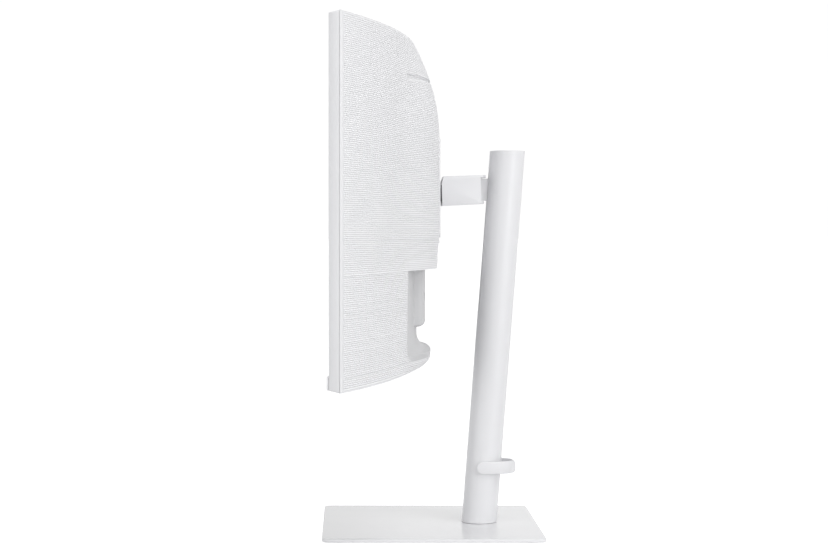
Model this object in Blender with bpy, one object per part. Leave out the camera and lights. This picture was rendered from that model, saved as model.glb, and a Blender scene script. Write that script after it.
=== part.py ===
"""Curved ultrawide computer monitor on a square base with a leaning round pole.

Metres, +Z up, -Y towards the viewer of the screen. The origin is at the bottom centre of the base.
The display is built from arcs about one vertical axis in front of the screen, the stand from a pole
that leans back, and a lift carriage, swivel arm and tilt neck join the two.
"""

import math

import bmesh
import bpy
from mathutils import Matrix, Vector

GAP = 0.0003

# Display: arcs about a vertical axis at CURVE_Y
SCREEN_RADIUS = 1.000
CENTRE_FRONT_Y = -0.0306
CURVE_Y = CENTRE_FRONT_Y - SCREEN_RADIUS
DISPLAY_WIDTH = 0.8068
DISPLAY_BOTTOM = 0.1914
DISPLAY_HEIGHT = 0.3670
FRAME_DEPTH = 0.0105
FRAME_DRAFT = 0.0027
FRAME_BORDER = 0.0080
COVER_EDGE = 0.0020
COVER_WALL = 0.0020
COLUMN_STEP = 0.0360
ROW_STEP = 0.0400
LIP_STEP = 0.0038
SCOOP_STEP = 0.0050
BLOCK_STEP = 0.0020
CROWN_STEP = 0.0140
CROWN_START = 0.0100
WALL_RUN = 0.0008
BEZEL_HEIGHT = 0.0165
BEZEL_PROUD = 0.0020
BEZEL_DRAFT = 0.0005

# Panel stack, front to back, as (depth behind the screen radius, thickness)
GLASS_BACK = 0.0003
GLASS_THICK = 0.0022
SHEETS_THICK = 0.0010
GUIDE_THICK = 0.0025
CHASSIS_THICK = 0.0012
LED_HEIGHT = 0.0030

# Rear bulge
BULGE_PEAK = 0.0284
BULGE_CROWN = 0.1050
BULGE_SHOULDER = 0.3400
BULGE_SLOPE = 0.0729
BULGE_FLAT_HALF = 0.0600
BULGE_FADE = 0.1760
LIP_TOP = 0.2110
LIP_ROUND = 0.0150

# Cable bay and the port block in it
BAY_HALF = 0.1870
BAY_TOP = 0.3030
BAY_FLOOR = 0.0020
SCOOP_TOP = 0.2300
BLOCK_HALF = 0.1150
BLOCK_BOTTOM = 0.2400
BLOCK_ROUND = 0.0040
BLOCK_PROUD = 0.0120

# Vent slot in the crown
VENT_BELOW_TOP = 0.0420
VENT_HEIGHT = 0.0045
VENT_HALF = 0.1870
VENT_DEPTH = 0.0035

# Stand mount on the display's back
PLATE_SIDE = 0.1140
PLATE_THICK = 0.0036
PLATE_Z = 0.3960
SEAT_Y = 0.0060
VESA_PITCH = 0.1000
SCREW_RADIUS = 0.0020
SCREW_HEAD_RADIUS = 0.0035
SCREW_HEAD_THICK = 0.0027
BRACKET_INSET = 0.0020
BRACKET_THICK = 0.0020

# Base and pole
BASE_SIDE = 0.2500
BASE_THICK = 0.0040
BASE_CORNER = 0.0080
BASE_BEVEL = 0.0008
FOOT_THICK = 0.0012
FOOT_RADIUS = 0.0090
FOOT_INSET = 0.0180
POLE_RADIUS = 0.0205
POLE_WALL = 0.0020
POLE_LEAN = math.radians(4.37)
POLE_FOOT_Y = 0.0582
POLE_TOP = 0.4403
CAP_THICK = 0.0050
PLUG_HEIGHT = 0.0120
BASE_SCREW_CIRCLE = 0.0110
BASE_SCREW_RADIUS = 0.0025
BASE_SCREW_HEAD = 0.0045
BASE_SCREW_HEAD_THICK = 0.0020

# Cable clip round the back of the pole
CLIP_Z = 0.0706
CLIP_HEIGHT = 0.0146
CLIP_WALL = 0.0025
CLIP_LOOP = 0.0173
CLIP_WRAP = 0.45

# Lift carriage and gas spring
LIFT_TRAVEL = 0.1200
SLOT_WIDTH = 0.0100
SHOE_LENGTH = 0.0500
SHOE_CLEAR = 0.0009
NECK_WIDTH = 0.0090
NECK_HEIGHT = 0.0260
CYLINDER_RADIUS = 0.0080
ROD_RADIUS = 0.0040
ROD_CLEAR = 0.0005
ROD_ENGAGED = 0.0200
ROD_SEAT = 0.0120
PLUG_RELIEF = 0.0020

# Arm, swivel and tilt
ARM_WIDTH = 0.0400
ARM_WALL = 0.0030
ARM_FRONT = 0.0133
ARM_BOTTOM = 0.3757
ARM_TOP = 0.4100
ARM_UNDERCUT = 0.0007
ARM_CHAMFER_Y = 0.0024
ARM_CHAMFER_Z = 0.0080
ARM_POLE_GAP = 0.0026
ARM_END_RISE = 0.0048
ARM_SWIVEL_INSET = 0.0059
ARM_TOP_RISE = math.tan(math.radians(2.0))
ARM_BOTTOM_RISE = math.tan(math.radians(2.9))
KNUCKLE_RADIUS = 0.0060
SWIVEL_PIN_RADIUS = 0.0027
TILT_Y = 0.0250
TILT_Z = 0.3900
TILT_PIN_RADIUS = 0.0035
BARREL_RADIUS = 0.0070
NECK_BELOW = 0.0088
NECK_ABOVE = 0.0100
CORE_SWIVEL_GAP = 0.0075
CORE_FRONT = 0.0340
EAR_THICK = 0.0040

# Buttons
RELEASE_WIDTH = 0.0134
RELEASE_HEIGHT = 0.0050
RELEASE_BELOW_PLATE = 0.0050
RELEASE_PROUD = 0.0015
RELEASE_DEPTH = 0.0100
JOG_RADIUS = 0.0055
JOG_X = -0.1200
JOG_HEIGHT = 0.0140

# Sockets on the port block: name, centre x, width, height, opening wall
SOCKET_Z = 0.2720
SOCKET_WALL = 0.0008
SOCKETS = (
    ("power_inlet", -0.088, 0.0290, 0.0220, 0.0020),
    ("hdmi_socket", -0.052, 0.0166, 0.0071, SOCKET_WALL),
    ("displayport_socket", -0.024, 0.0180, 0.0074, SOCKET_WALL),
    ("usb_c_socket", 0.000, 0.0100, 0.0042, SOCKET_WALL),
    ("network_socket", 0.024, 0.0160, 0.0140, 0.0010),
    ("usb_a_socket", 0.052, 0.0147, 0.0073, SOCKET_WALL),
    ("audio_socket", 0.078, 0.0080, 0.0080, 0.0020),
)
SOCKET_DEPTH = 0.0085
BOARD_THICK = 0.0016
BOARD_INSET = 0.0200

# Power board with its parts, as shares of the board's height, and the speakers
POWER_ABOVE_BAY = 0.0470
POWER_BELOW_TOP = 0.1184
POWER_NEAR = 0.0650
POWER_FAR = 0.1600
TRANSFORMER_X = -0.0950
TRANSFORMER_WIDTH = 0.0260
TRANSFORMER_DEPTH = 0.0120
TRANSFORMER_SPAN = (0.333, 0.667)
CAPACITOR_RADIUS = 0.0055
CAPACITOR_SPAN = (0.067, 0.278)
SPEAKER_NEAR = 0.0900
SPEAKER_FAR = 0.1400
SPEAKER_HEIGHT = 0.0300
SPEAKER_BELOW_TOP = 0.0734
SPEAKER_DEPTH = 0.0080

DISPLAY_TOP = DISPLAY_BOTTOM + DISPLAY_HEIGHT
DISPLAY_HALF = DISPLAY_WIDTH / 2
PLATE_HALF = PLATE_SIDE / 2
BASE_TOP = FOOT_THICK + BASE_THICK
CHASSIS_RADIUS = (SCREEN_RADIUS + GLASS_BACK + GLASS_THICK + SHEETS_THICK + GUIDE_THICK
                  + CHASSIS_THICK + 3 * GAP)
COVER_RADIUS = SCREEN_RADIUS + FRAME_DEPTH + COVER_EDGE
LEAN = Matrix.Translation((0, POLE_FOOT_Y, BASE_TOP)) @ Matrix.Rotation(-POLE_LEAN, 4, "X")
VENT_Z = DISPLAY_TOP - VENT_BELOW_TOP
RELEASE_Z = PLATE_Z - PLATE_HALF - RELEASE_BELOW_PLATE


def pole_axis_y(level):
    return POLE_FOOT_Y + (level - BASE_TOP) * math.tan(POLE_LEAN)


# The arm's back end and its swivel keep clear of the pole's front
ARM_PLATE_END = pole_axis_y(ARM_BOTTOM) - POLE_RADIUS / math.cos(POLE_LEAN) - ARM_POLE_GAP
ARM_SIDE_END = ARM_PLATE_END - ARM_END_RISE
SWIVEL_Y = ARM_PLATE_END - ARM_SWIVEL_INSET
CORE_BACK = SWIVEL_Y - CORE_SWIVEL_GAP

for leftover in list(bpy.data.objects):
    bpy.data.objects.remove(leftover, do_unlink=True)


def finish(name, colour, roughness, metallic=0.0):
    made = bpy.data.materials.new(name)
    made.use_nodes = True
    shader = made.node_tree.nodes["Principled BSDF"]
    shader.inputs["Base Color"].default_value = (*colour, 1.0)
    shader.inputs["Roughness"].default_value = roughness
    shader.inputs["Metallic"].default_value = metallic
    return made


WHITE_PLASTIC = finish("white_plastic", (0.80, 0.80, 0.81), 0.45)
WHITE_PAINT = finish("white_paint", (0.78, 0.78, 0.80), 0.35)
DARK_PAINT = finish("dark_paint", (0.22, 0.22, 0.23), 0.40)
DARK_RUBBER = finish("dark_rubber", (0.05, 0.05, 0.05), 0.80)
SCREEN_GLASS = finish("screen_glass", (0.01, 0.01, 0.012), 0.15)
STEEL = finish("steel", (0.55, 0.55, 0.56), 0.35, 1.0)
CLEAR_SHEET = finish("clear_sheet", (0.85, 0.87, 0.88), 0.20)
BOARD_GREEN = finish("circuit_board", (0.03, 0.16, 0.07), 0.50)
BLACK_PLASTIC = finish("black_plastic", (0.03, 0.03, 0.035), 0.50)


def add_object(name, mesh_data, look, place=None):
    """Turn a bmesh into a named object with outward faces and smooth round sides."""
    bmesh.ops.remove_doubles(mesh_data, verts=mesh_data.verts[:], dist=1e-7)
    bmesh.ops.recalc_face_normals(mesh_data, faces=mesh_data.faces[:])
    mesh = bpy.data.meshes.new(name)
    mesh_data.to_mesh(mesh)
    mesh_data.free()
    mesh.shade_smooth()
    mesh.set_sharp_from_angle(angle=math.radians(35))
    if look is not None:
        mesh.materials.append(look)
    made = bpy.data.objects.new(name, mesh)
    bpy.context.scene.collection.objects.link(made)
    if place is not None:
        made.matrix_world = place
    return made


def ring_solid(name, rings, look, place=None, closed=False):
    """Join rings of points with quads; cap both ends, or close the last ring on the first."""
    data = bmesh.new()
    loops = [[data.verts.new(point) for point in ring] for ring in rings]
    pairs = list(zip(loops, loops[1:]))
    if closed:
        pairs.append((loops[-1], loops[0]))
    else:
        data.faces.new(loops[0])
        data.faces.new(loops[-1])
    count = len(loops[0])
    for near, far in pairs:
        for i in range(count):
            j = (i + 1) % count
            data.faces.new((near[i], near[j], far[j], far[i]))
    return add_object(name, data, look, place)


def box(name, low, high, look, place=None):
    outline = ((low[0], low[1]), (high[0], low[1]), (high[0], high[1]), (low[0], high[1]))
    rings = [[(x, y, z) for x, y in outline] for z in (low[2], high[2])]
    return ring_solid(name, rings, look, place)


def circle(radius, z, sides=32, centre=(0, 0)):
    turn = 2 * math.pi / sides
    return [(centre[0] + radius * math.cos(i * turn), centre[1] + radius * math.sin(i * turn), z)
            for i in range(sides)]


def cylinder(name, radius, low, high, look, centre=(0, 0), place=None, sides=32):
    rings = [circle(radius, z, sides, centre) for z in (low, high)]
    return ring_solid(name, rings, look, place)


def along_x(centre_y, centre_z):
    """Place a cylinder that runs along local Z so that it runs along world X."""
    return Matrix.Translation((0, centre_y, centre_z)) @ Matrix.Rotation(math.pi / 2, 4, "Y")


def along_y(centre_x, centre_z):
    return Matrix.Translation((centre_x, 0, centre_z)) @ Matrix.Rotation(-math.pi / 2, 4, "X")


def combine(target, tool, operation):
    tool.hide_render = True
    tool.display_type = "WIRE"
    change = target.modifiers.new(tool.name, "BOOLEAN")
    change.operation = operation
    change.solver = "EXACT"
    change.object = tool


def cut(target, tool):
    combine(target, tool, "DIFFERENCE")


def arc_y(x, radius):
    return CURVE_Y + math.sqrt(radius * radius - x * x)


def curved_slab(name, front, back, half, low, high, look, draft=0.0, segments=20):
    """A slab between two radii of the screen's curve; draft shrinks its front outline."""
    rings = []
    for i in range(segments + 1):
        share = 2 * i / segments - 1
        x_front = share * (half - draft)
        x_back = share * half
        y_front = arc_y(x_front, front)
        y_back = arc_y(x_back, back)
        rings.append([(x_front, y_front, low + draft), (x_back, y_back, low),
                      (x_back, y_back, high), (x_front, y_front, high - draft)])
    return ring_solid(name, rings, look)


# ---------------------------------------------------------------- stand: base, feet, pole, clip

def rounded_square(half, corner, z, steps=6):
    points = []
    for quarter in range(4):
        for i in range(steps + 1):
            angle = math.pi / 2 * (quarter + i / steps)
            sign_x = (1, -1, -1, 1)[quarter]
            sign_y = (1, 1, -1, -1)[quarter]
            points.append((sign_x * (half - corner) + corner * math.cos(angle),
                           sign_y * (half - corner) + corner * math.sin(angle), z))
    return points


base_half = BASE_SIDE / 2
base_plate = ring_solid("base_plate", [
    rounded_square(base_half - BASE_BEVEL, BASE_CORNER - BASE_BEVEL, FOOT_THICK + GAP),
    rounded_square(base_half, BASE_CORNER, FOOT_THICK + GAP + BASE_BEVEL),
    rounded_square(base_half, BASE_CORNER, BASE_TOP - BASE_BEVEL),
    rounded_square(base_half - BASE_BEVEL, BASE_CORNER - BASE_BEVEL, BASE_TOP),
], WHITE_PAINT)

foot_offset = base_half - FOOT_INSET
for number, (side_x, side_y) in enumerate(((-1, -1), (1, -1), (-1, 1), (1, 1)), start=1):
    cylinder(f"rubber_foot_{number}", FOOT_RADIUS, 0, FOOT_THICK, DARK_RUBBER,
             centre=(side_x * foot_offset, side_y * foot_offset))


def lean_circle(radius, level, sides=48):
    """A circle of the leaning pole, cut level at a world height, in the pole's own frame."""
    turn = 2 * math.pi / sides
    points = []
    for i in range(sides):
        x = radius * math.cos(i * turn)
        y = radius * math.sin(i * turn)
        z = (level - BASE_TOP + y * math.sin(POLE_LEAN)) / math.cos(POLE_LEAN)
        points.append((x, y, z))
    return points


pole_bore = POLE_RADIUS - POLE_WALL
pole_low = BASE_TOP + GAP
pole_tube = ring_solid("pole_tube", [
    lean_circle(POLE_RADIUS, pole_low), lean_circle(POLE_RADIUS, POLE_TOP),
    lean_circle(pole_bore, POLE_TOP), lean_circle(pole_bore, pole_low),
], WHITE_PAINT, LEAN, closed=True)

plug_top = pole_low + PLUG_HEIGHT
pole_plug = ring_solid("pole_foot_plug", [
    lean_circle(pole_bore - GAP, pole_low), lean_circle(pole_bore - GAP, plug_top),
], STEEL, LEAN)
ring_solid("pole_cap", [
    lean_circle(pole_bore - GAP, POLE_TOP - CAP_THICK), lean_circle(pole_bore - GAP, POLE_TOP - GAP),
], WHITE_PLASTIC, LEAN)

for number in range(3):
    angle = math.radians(90 + 120 * number)
    spot = (BASE_SCREW_CIRCLE * math.cos(angle), POLE_FOOT_Y + BASE_SCREW_CIRCLE * math.sin(angle))
    head_low = FOOT_THICK + 2 * GAP
    head_high = head_low + BASE_SCREW_HEAD_THICK
    shank_high = plug_top - 2 * GAP
    ring_solid(f"base_screw_{number + 1}", [
        circle(BASE_SCREW_HEAD, head_low, 24, spot), circle(BASE_SCREW_HEAD, head_high, 24, spot),
        circle(BASE_SCREW_RADIUS, head_high, 24, spot), circle(BASE_SCREW_RADIUS, shank_high, 24, spot),
    ], STEEL)
    cut(base_plate, cylinder(f"cut_base_head_{number}", BASE_SCREW_HEAD + GAP, 0, head_high + GAP,
                             None, spot, sides=24))
    cut(base_plate, cylinder(f"cut_base_shank_{number}", BASE_SCREW_RADIUS + GAP, 0, 2 * BASE_TOP,
                             None, spot, sides=24))
    cut(pole_plug, cylinder(f"cut_plug_{number}", BASE_SCREW_RADIUS + GAP, 0, plug_top - GAP,
                            None, spot, sides=24))


def clip_outline(inner, reach, sides=20):
    """A U round the pole's back: straight sides from its ends, then half an ellipse."""
    start = -POLE_RADIUS * CLIP_WRAP
    half_turn = [(inner * math.cos(math.pi * i / sides), reach * math.sin(math.pi * i / sides))
                 for i in range(sides + 1)]
    return [(inner, start)] + half_turn + [(-inner, start)]


clip_axis_y = pole_axis_y(CLIP_Z)
clip_inner = POLE_RADIUS + GAP
clip_outer = clip_inner + CLIP_WALL
clip_reach = POLE_RADIUS + CLIP_LOOP
clip_points = (clip_outline(clip_outer, clip_reach)
               + clip_outline(clip_inner, clip_reach - CLIP_WALL)[::-1])
ring_solid("cable_clip", [[(x, clip_axis_y + y, z) for x, y in clip_points]
                          for z in (CLIP_Z - CLIP_HEIGHT / 2, CLIP_Z + CLIP_HEIGHT / 2)],
           WHITE_PLASTIC)

# ---------------------------------------------------------------- lift carriage and gas spring


def axis_length(level):
    """Distance along the pole's axis, from its foot, of a world height."""
    return (level - BASE_TOP) / math.cos(POLE_LEAN)


arm_cavity_low = ARM_BOTTOM + ARM_WALL + (SWIVEL_Y - ARM_FRONT) * ARM_BOTTOM_RISE
arm_cavity_high = ARM_TOP - ARM_WALL + (SWIVEL_Y - ARM_FRONT) * ARM_TOP_RISE
knuckle_low = arm_cavity_low + 2.5 * GAP
knuckle_high = arm_cavity_high - 2.5 * GAP
knuckle_mid = (knuckle_low + knuckle_high) / 2

slot_low = axis_length(knuckle_mid) - LIFT_TRAVEL - NECK_HEIGHT
slot_high = axis_length(knuckle_mid) + NECK_HEIGHT
cut(pole_tube, box("cut_pole_slot", (-SLOT_WIDTH / 2, -2 * POLE_RADIUS, slot_low),
                   (SLOT_WIDTH / 2, -POLE_RADIUS / 2, slot_high), None, LEAN))

shoe_low = axis_length(knuckle_mid) - SHOE_LENGTH / 2
shoe_high = axis_length(knuckle_mid) + SHOE_LENGTH / 2
carriage = cylinder("carriage", pole_bore - SHOE_CLEAR, shoe_low, shoe_high, WHITE_PAINT, place=LEAN)
neck_back = pole_axis_y(knuckle_mid)
combine(carriage, box("join_neck", (-NECK_WIDTH / 2, SWIVEL_Y, knuckle_mid - NECK_HEIGHT / 2),
                      (NECK_WIDTH / 2, neck_back, knuckle_mid + NECK_HEIGHT / 2), None), "UNION")
combine(carriage, cylinder("join_knuckle", KNUCKLE_RADIUS, knuckle_low, knuckle_high, None,
                           (0, SWIVEL_Y)), "UNION")
cut(carriage, cylinder("cut_swivel_bore", SWIVEL_PIN_RADIUS + GAP, ARM_BOTTOM, ARM_TOP + ARM_WALL,
                       None, (0, SWIVEL_Y), sides=24))
cut(carriage, cylinder("cut_rod_socket", ROD_RADIUS + GAP, shoe_low - GAP, shoe_low + ROD_SEAT, None,
                       place=LEAN, sides=24))

rod_low = shoe_low - LIFT_TRAVEL - 2 * ROD_ENGAGED
cylinder_low = axis_length(plug_top) + PLUG_RELIEF
cylinder_high = rod_low + ROD_ENGAGED
cylinder("gas_rod", ROD_RADIUS, rod_low, shoe_low + ROD_SEAT - GAP, STEEL, place=LEAN, sides=24)
ring_solid("gas_cylinder", [
    circle(CYLINDER_RADIUS, cylinder_low), circle(CYLINDER_RADIUS, cylinder_high),
    circle(ROD_RADIUS + ROD_CLEAR, cylinder_high), circle(ROD_RADIUS + ROD_CLEAR, cylinder_low),
], BLACK_PLASTIC, LEAN, closed=True)

# ---------------------------------------------------------------- arm, swivel and tilt


def yz_prism(name, outline, half_width, look):
    return ring_solid(name, [[(x, y, z) for y, z in outline] for x in (-half_width, half_width)], look)


def arm_low(y, inset=0.0):
    return ARM_BOTTOM + inset + (y - ARM_FRONT) * ARM_BOTTOM_RISE


def arm_high(y, inset=0.0):
    return ARM_TOP - inset + (y - ARM_FRONT) * ARM_TOP_RISE


def arm_end_outline(sides=16):
    """Everything behind the arm's roof and floor in the top view: they end in a shallow arc."""
    half = ARM_WIDTH / 2
    rise = ARM_END_RISE - GAP
    radius = (half * half + rise * rise) / (2 * rise)
    reach = half + ARM_WALL
    arc = [-reach + 2 * reach * i / sides for i in range(sides + 1)]
    return [(x, ARM_PLATE_END - radius + math.sqrt(radius * radius - x * x)) for x in arc] + [
        (reach, ARM_PLATE_END + 2 * ARM_WALL), (-reach, ARM_PLATE_END + 2 * ARM_WALL)]


chamfer_y = ARM_FRONT + ARM_CHAMFER_Y
arm_shell = yz_prism("arm_shell", [
    (ARM_FRONT + ARM_UNDERCUT, arm_low(ARM_FRONT)),
    (ARM_PLATE_END + ARM_WALL, arm_low(ARM_PLATE_END + ARM_WALL)),
    (ARM_PLATE_END + ARM_WALL, arm_high(ARM_PLATE_END + ARM_WALL)),
    (chamfer_y, arm_high(chamfer_y)), (ARM_FRONT, arm_high(ARM_FRONT) - ARM_CHAMFER_Z),
], ARM_WIDTH / 2, WHITE_PLASTIC)
cavity_start = ARM_FRONT - ARM_WALL
cavity_end = ARM_PLATE_END + 2 * ARM_WALL
cavity_half = ARM_WIDTH / 2 - ARM_WALL
open_half = ARM_WIDTH / 2 + ARM_WALL
cavity_plan = [(-cavity_half, cavity_start), (cavity_half, cavity_start), (cavity_half, ARM_SIDE_END),
               (open_half, ARM_SIDE_END), (open_half, cavity_end), (-open_half, cavity_end),
               (-open_half, ARM_SIDE_END), (-cavity_half, ARM_SIDE_END)]
cut(arm_shell, ring_solid("cut_arm_cavity", [[(x, y, arm_low(y, ARM_WALL)) for x, y in cavity_plan],
                                             [(x, y, arm_high(y, ARM_WALL)) for x, y in cavity_plan]],
                          None))
cut(arm_shell, ring_solid("cut_arm_end", [
    [(x, y + (z - ARM_BOTTOM) * math.tan(POLE_LEAN), z) for x, y in arm_end_outline()]
    for z in (ARM_BOTTOM - ARM_WIDTH, ARM_TOP + ARM_WIDTH)], None))
pin_low = arm_low(SWIVEL_Y, ARM_WALL / 2)
pin_high = arm_high(SWIVEL_Y, ARM_WALL / 2)
cut(arm_shell, cylinder("cut_arm_pin", SWIVEL_PIN_RADIUS + GAP, pin_low, pin_high, None,
                        (0, SWIVEL_Y), sides=24))
cylinder("swivel_pin", SWIVEL_PIN_RADIUS, pin_low + GAP, pin_high - GAP, STEEL, (0, SWIVEL_Y), sides=24)

core_half = ARM_WIDTH / 2 - ARM_WALL - GAP
core_front = TILT_Y - BARREL_RADIUS
arm_core = yz_prism("arm_core", [
    (core_front, arm_low(core_front, ARM_WALL + GAP)), (CORE_BACK, arm_low(CORE_BACK, ARM_WALL + GAP)),
    (CORE_BACK, arm_high(CORE_BACK, ARM_WALL + GAP)), (core_front, arm_high(core_front, ARM_WALL + GAP)),
], core_half, WHITE_PAINT)
barrel_half = core_half - EAR_THICK - GAP
cut(arm_core, box("cut_core_slot", (-barrel_half - GAP, core_front - ARM_WALL, ARM_BOTTOM),
                  (barrel_half + GAP, CORE_FRONT, ARM_TOP + ARM_WALL), None))
cut(arm_core, cylinder("cut_core_bore", TILT_PIN_RADIUS + GAP, -ARM_WIDTH, ARM_WIDTH, None,
                       place=along_x(TILT_Y, TILT_Z), sides=24))
cylinder("tilt_pin", TILT_PIN_RADIUS, -core_half, core_half, STEEL, place=along_x(TILT_Y, TILT_Z),
         sides=24)

plate_back = SEAT_Y + GAP + PLATE_THICK
tilt_neck = cylinder("tilt_neck", BARREL_RADIUS, -barrel_half, barrel_half, DARK_PAINT,
                     place=along_x(TILT_Y, TILT_Z))
combine(tilt_neck, box("join_tilt_neck", (-barrel_half, plate_back + GAP, TILT_Z - NECK_BELOW),
                       (barrel_half, TILT_Y, TILT_Z + NECK_ABOVE), None), "UNION")
cut(tilt_neck, cylinder("cut_neck_bore", TILT_PIN_RADIUS + GAP, -ARM_WIDTH, ARM_WIDTH, None,
                        place=along_x(TILT_Y, TILT_Z), sides=24))

# ---------------------------------------------------------------- display: frame and panel stack

mid_frame = curved_slab("mid_frame", SCREEN_RADIUS, SCREEN_RADIUS + FRAME_DEPTH, DISPLAY_HALF,
                        DISPLAY_BOTTOM, DISPLAY_TOP, WHITE_PLASTIC, draft=FRAME_DRAFT)
opening_half = DISPLAY_HALF - FRAME_BORDER
opening_low = DISPLAY_BOTTOM + FRAME_BORDER
opening_high = DISPLAY_TOP - FRAME_BORDER
cut(mid_frame, curved_slab("cut_frame_opening", SCREEN_RADIUS - FRAME_DEPTH,
                           SCREEN_RADIUS + 2 * FRAME_DEPTH, opening_half, opening_low, opening_high,
                           None))

stack = SCREEN_RADIUS + GLASS_BACK
for name, thickness, look, extra_low in (
        ("lcd_glass", GLASS_THICK, SCREEN_GLASS, 0.0),
        ("optical_sheets", SHEETS_THICK, CLEAR_SHEET, 0.0),
        ("light_guide", GUIDE_THICK, CLEAR_SHEET, LED_HEIGHT + GAP),
        ("panel_chassis", CHASSIS_THICK, STEEL, 0.0)):
    curved_slab(name, stack, stack + thickness, opening_half - GAP, opening_low + GAP + extra_low,
                opening_high - GAP, look)
    if name == "light_guide":
        curved_slab("led_strip", stack, stack + thickness, opening_half - GAP, opening_low + GAP,
                    opening_low + GAP + LED_HEIGHT, BOARD_GREEN)
    stack += thickness + GAP

bezel_half = DISPLAY_HALF - FRAME_DRAFT
curved_slab("lower_bezel", SCREEN_RADIUS - BEZEL_PROUD, SCREEN_RADIUS - GAP, bezel_half,
            DISPLAY_BOTTOM + FRAME_DRAFT, DISPLAY_BOTTOM + BEZEL_HEIGHT, WHITE_PLASTIC, draft=BEZEL_DRAFT)

# ---------------------------------------------------------------- display: rear cover


def bulge_profile(z):
    """How far the cover stands behind its thin edge on the centre line."""
    below_top = DISPLAY_TOP - z
    if below_top < BULGE_CROWN:
        return BULGE_PEAK * (1 - (1 - below_top / BULGE_CROWN) ** 2)
    depth = BULGE_PEAK - BULGE_SLOPE * max(0.0, BULGE_SHOULDER - z)
    above_bottom = z - DISPLAY_BOTTOM
    if above_bottom < LIP_ROUND:
        depth *= math.sqrt(1 - (1 - above_bottom / LIP_ROUND) ** 2)
    return depth


def bulge_fade(x):
    """The bulge is even across the middle and fades smoothly to nothing towards the ends."""
    share = min(1.0, max(0.0, (abs(x) - BULGE_FLAT_HALF) / BULGE_FADE))
    return math.cos(math.pi / 2 * share) ** 2


def bay_profile(x, z):
    """The cable bay's floor, its scoop to the bottom lip, and the port block standing in it."""
    depth = BAY_FLOOR
    if z < SCOOP_TOP:
        share = min(1.0, (SCOOP_TOP - z) / (SCOOP_TOP - LIP_TOP))
        lip = bulge_profile(LIP_TOP) * bulge_fade(x)
        depth += max(0.0, lip - BAY_FLOOR) * (1 - math.sqrt(1 - share * share))
    if abs(x) <= BLOCK_HALF and z >= BLOCK_BOTTOM:
        share = min(1.0, (z - BLOCK_BOTTOM) / BLOCK_ROUND)
        depth = BLOCK_PROUD - BLOCK_ROUND * (1 - math.sqrt(1 - (1 - share) ** 2))
    return depth


def cover_y(x, z):
    edge = arc_y(x, COVER_RADIUS)
    depth = bulge_profile(z) * bulge_fade(x)
    if abs(x) <= VENT_HALF and abs(z - VENT_Z) <= VENT_HEIGHT / 2:
        depth = max(0.0, depth - VENT_DEPTH)
    if abs(x) <= BAY_HALF and LIP_TOP < z <= BAY_TOP:
        depth = min(depth, bay_profile(x, z))
    if max(abs(x), abs(z - PLATE_Z)) <= PLATE_HALF + 2 * GAP:
        return SEAT_Y
    return edge + depth


def grid_lines(stops, step, fine=()):
    """Stops with even lines between them, so that no strip is wider than the step."""
    lines = [stops[0]]
    for low, high in zip(stops, stops[1:]):
        width = step
        for fine_low, fine_high, fine_step in fine:
            if fine_low <= (low + high) / 2 <= fine_high:
                width = fine_step
        count = max(1, math.ceil((high - low) / width - 1e-6))
        lines += [low + (high - low) * i / count for i in range(1, count + 1)]
    return lines


seat_half = PLATE_HALF + 2 * GAP
seat_inner = seat_half - COVER_WALL - GAP
right = grid_lines(sorted([0, seat_inner, seat_half, seat_half + WALL_RUN, BLOCK_HALF, BLOCK_HALF + WALL_RUN,
                           BAY_HALF, BAY_HALF + WALL_RUN, BULGE_FLAT_HALF + BULGE_FADE,
                           DISPLAY_HALF]), COLUMN_STEP)
columns = [-x for x in right[:0:-1]] + right
vent_low = VENT_Z - VENT_HEIGHT / 2
vent_high = VENT_Z + VENT_HEIGHT / 2
crown_low = DISPLAY_TOP - BULGE_CROWN
rows = grid_lines(sorted([
    DISPLAY_BOTTOM, DISPLAY_BOTTOM + LIP_ROUND, LIP_TOP, LIP_TOP + WALL_RUN, SCOOP_TOP,
    BLOCK_BOTTOM - WALL_RUN, BLOCK_BOTTOM, BLOCK_BOTTOM + BLOCK_ROUND, BAY_TOP, BAY_TOP + WALL_RUN,
    PLATE_Z - seat_half - WALL_RUN, PLATE_Z - seat_half, PLATE_Z - seat_inner, PLATE_Z + seat_inner,
    PLATE_Z + seat_half,
    PLATE_Z + seat_half + WALL_RUN, crown_low + CROWN_START, vent_low - WALL_RUN, vent_low, vent_high,
    vent_high + WALL_RUN, DISPLAY_TOP,
]), ROW_STEP, fine=((DISPLAY_BOTTOM, DISPLAY_BOTTOM + LIP_ROUND, LIP_STEP), (LIP_TOP, SCOOP_TOP, SCOOP_STEP),
                   (BLOCK_BOTTOM, BLOCK_BOTTOM + BLOCK_ROUND, BLOCK_STEP),
                   (crown_low, DISPLAY_TOP, CROWN_STEP)))

outer = [[cover_y(x, z) for x in columns] for z in rows]


def inner_y(row, column):
    """The inner face keeps the wall behind the lowest outer point around it."""
    near = [outer[j][i] for j in range(max(0, row - 1), min(len(rows), row + 2))
            for i in range(max(0, column - 1), min(len(columns), column + 2))
            if abs(rows[j] - rows[row]) <= COVER_WALL and abs(columns[i] - columns[column]) <= COVER_WALL]
    rim = arc_y(columns[column], SCREEN_RADIUS + FRAME_DEPTH + GAP)
    return max(rim, min(near) - COVER_WALL)


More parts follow.
